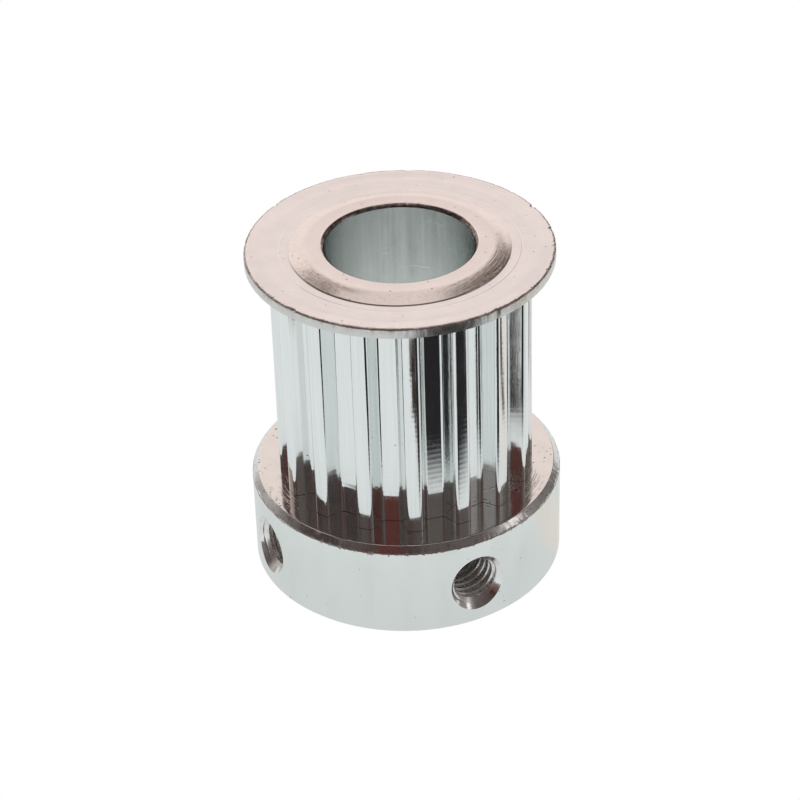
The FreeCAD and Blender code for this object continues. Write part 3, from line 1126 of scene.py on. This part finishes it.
def make_table():
    """What the polished metal sees of the table: white paper, with a dark card and a dark stand on the
    right. Overhead light makes it paler inside the bore, and it is dimmer close to the hub."""
    table = disc("table", TABLE_HEIGHT)
    material, tree, shader = glow("table_light")
    spot = studio_frame(tree, tree.in_mm(tree.add("ShaderNodeNewGeometry").outputs["Position"]))
    angle, reach, _ = tree.polar_of(spot)
    right, back, _ = tree.split(spot)
    ahead = tree.times(back, -1)
    edge = tree.layers((right, CARD_EDGE[0]), (ahead, CARD_EDGE[1]))
    card = tree.times(tree.step(edge, 26, 37), tree.between(angle, 11, 54, 2.5))
    stand = tree.times(tree.step(reach, 36, 42), tree.between(angle, 82.5, 87, 1))
    paper = tree.tint(tree.step(reach, 16, 38), PAPER_NEAR, PAPER)
    paper = tree.tint(tree.step(reach, BORE_RADIUS + 2, BORE_RADIUS), paper, PAPER_IN_BORE)
    color = tree.tint(tree.times(tree.step(reach, 80, 220), 0.55), paper, (0.3, 0.27, 0.25))
    color = tree.tint(tree.times(tree.between(angle, 78, 104, 3), 0.5), color, (0.82, 0.72, 0.64))
    color = tree.tint(stand, color, BROWN)
    color = tree.tint(card, color, BLACK)
    tree.put(color, shader.inputs["Color"])
    table.data.materials.append(material)
    table.visible_camera = False
    table.visible_shadow = False


def make_flag(name, height, outline):
    """A small black card that lies above the table. Its outline is given as (right, ahead) corners."""
    corners = []
    for right, ahead in outline:
        corners.append(Matrix.Rotation(CAMERA_TURN, 3, "Z") @ Vector((right, -ahead, height)) * MM)
    flag = sheet(name, corners)
    material, tree, shader = glow(name + "_cloth")
    spot = tree.in_mm(tree.add("ShaderNodeNewGeometry").outputs["Position"])
    tree.put(tree.tint(tree.noise(spot, 0.4), BLACK, BROWN), shader.inputs["Color"])
    flag.data.materials.append(material)
    flag.visible_camera = False
    flag.visible_diffuse = False
    flag.visible_shadow = False


def make_world():
    """The room: dark in front, light and warm behind and overhead, soft shapes all round."""
    world = bpy.data.worlds.new("studio")
    bpy.context.scene.world = world
    world.use_nodes = True
    tree = Tree(world.node_tree)
    tree.tree.nodes.clear()
    tint, times, step, between = tree.tint, tree.times, tree.step, tree.between
    way = studio_frame(tree, tree.add("ShaderNodeTexCoord").outputs["Generated"])
    angle, _, up = tree.polar_of(way)
    elevation = times(tree.math("ARCSINE", up), 360 / TURN)

    def shape(color, new, angles, elevations, strength=1):
        """A soft-edged shape. Its angles, like its elevations, are from, to and the edges' softness."""
        inside = times(between(angle, *angles), between(elevation, *elevations))
        return tint(times(inside, strength), color, new)

    # In front: dark, a little lighter low down and on the right
    color = tint(step(elevation, 14, 34), (0.19, 0.175, 0.165), (0.062, 0.045, 0.045))
    right = times(between(angle, 16, 70, 8), step(elevation, 12, 30))
    color = tint(right, color, (0.1, 0.085, 0.08))
    side = times(between(angle, 62, 104, 10), step(elevation, 48, 30))
    color = tint(side, color, (0.29, 0.265, 0.26))

    # A red shape in front, then a faint wall and a lamp on the right
    color = shape(color, (0.13, 0.035, 0.028), (-26, -6, 4), (8, 52, 6), 0.8)
    color = shape(color, (0.95, 0.82, 0.82), (72, 86, 4), (30, 40, 4), 0.14)
    color = shape(color, (1.2, 1.14, 1.12), (74, 90, 4), (23, 30.5, 2))

    # The left side, paler low down, and the clutter of the room
    color = tint(step(angle, -98, -128), color, (0.34, 0.27, 0.23))
    left_low = times(step(angle, -90, -124), step(elevation, 34, 18))
    color = tint(left_low, color, (0.6, 0.56, 0.54))
    clutter = tree.noise(way, 3, 4, 0.6)
    color = tint(times(step(clutter, 0.45, 0.62), 0.45), color, (0.17, 0.14, 0.13))

    # Behind: warm light with a dim band across it, a brown wall, a shelf and a bright opening
    warm = tint(step(elevation, 31, 42), WARM_LOW, WARM)
    warm = tint(times(between(elevation, 25.5, 30.2, 2.6), 0.6), warm, (0.6, 0.52, 0.49))
    behind = tree.most(step(angle, 140, 156), step(angle, -128, -146))
    color = tint(behind, color, warm)
    color = shape(color, (0.13, 0.095, 0.075), (98, 164, 4), (24, 58, 4), 0.95)
    color = shape(color, (0.13, 0.09, 0.065), (-168, -140, 4), (42, 54, 3), 0.9)
    color = shape(color, (1, 0.86, 0.8), (-172, -142, 6), (14, 36, 5))
    color = tint(step(elevation, 62, 72), color, WARM)
    shader = tree.add("ShaderNodeBackground")
    tree.put(color, shader.inputs["Color"])
    target = tree.add("ShaderNodeOutputWorld")
    tree.put(shader.outputs[0], target.inputs[0])


def make_camera():
    """A long lens from the front left of the pulley's axes, so that set screw 1 is right of centre."""
    data = bpy.data.cameras.new("camera")
    data.lens = CAMERA_LENS
    data.sensor_width = CAMERA_SENSOR
    camera = put_in_scene("camera", data)
    place = Matrix.Translation(polar(CAMERA_REACH, CAMERA_TURN - math.pi / 2, CAMERA_HEIGHT) * MM)
    pan = Matrix.Rotation(CAMERA_TURN + CAMERA_PAN, 4, "Z")
    tilt = Matrix.Rotation(CAMERA_TILT, 4, "X")
    roll = Matrix.Rotation(CAMERA_ROLL, 4, "Z")
    camera.matrix_world = place @ pan @ tilt @ roll
    bpy.context.scene.camera = camera


barrel = plated_barrel()
thread = tapped_thread()
worn = worn_edge()
make_hub([barrel, plated_face(), plated_chamfer(), thread, countersink_metal(), worn])
make_sleeve([plated_teeth(), brushed_swage(), plated_bore(), thread, seam_dirt(), bore_edge()])
make_flange([plated_flange(), worn, sheared_rim()])
steel = screw_steel()
for screw_name, screw_angle in HOLE_ANGLES.items():
    make_screw(screw_name, screw_angle, steel)

make_floor()
make_table()
make_flag("flag", FLAG_HEIGHT, FLAG_OUTLINE)
make_flag("slat", SLAT_HEIGHT, SLAT_OUTLINE)
make_world()
make_camera()
scene = bpy.context.scene
scene.view_settings.view_transform = "Standard"
scene.cycles.max_bounces = 16
scene.cycles.glossy_bounces = 16
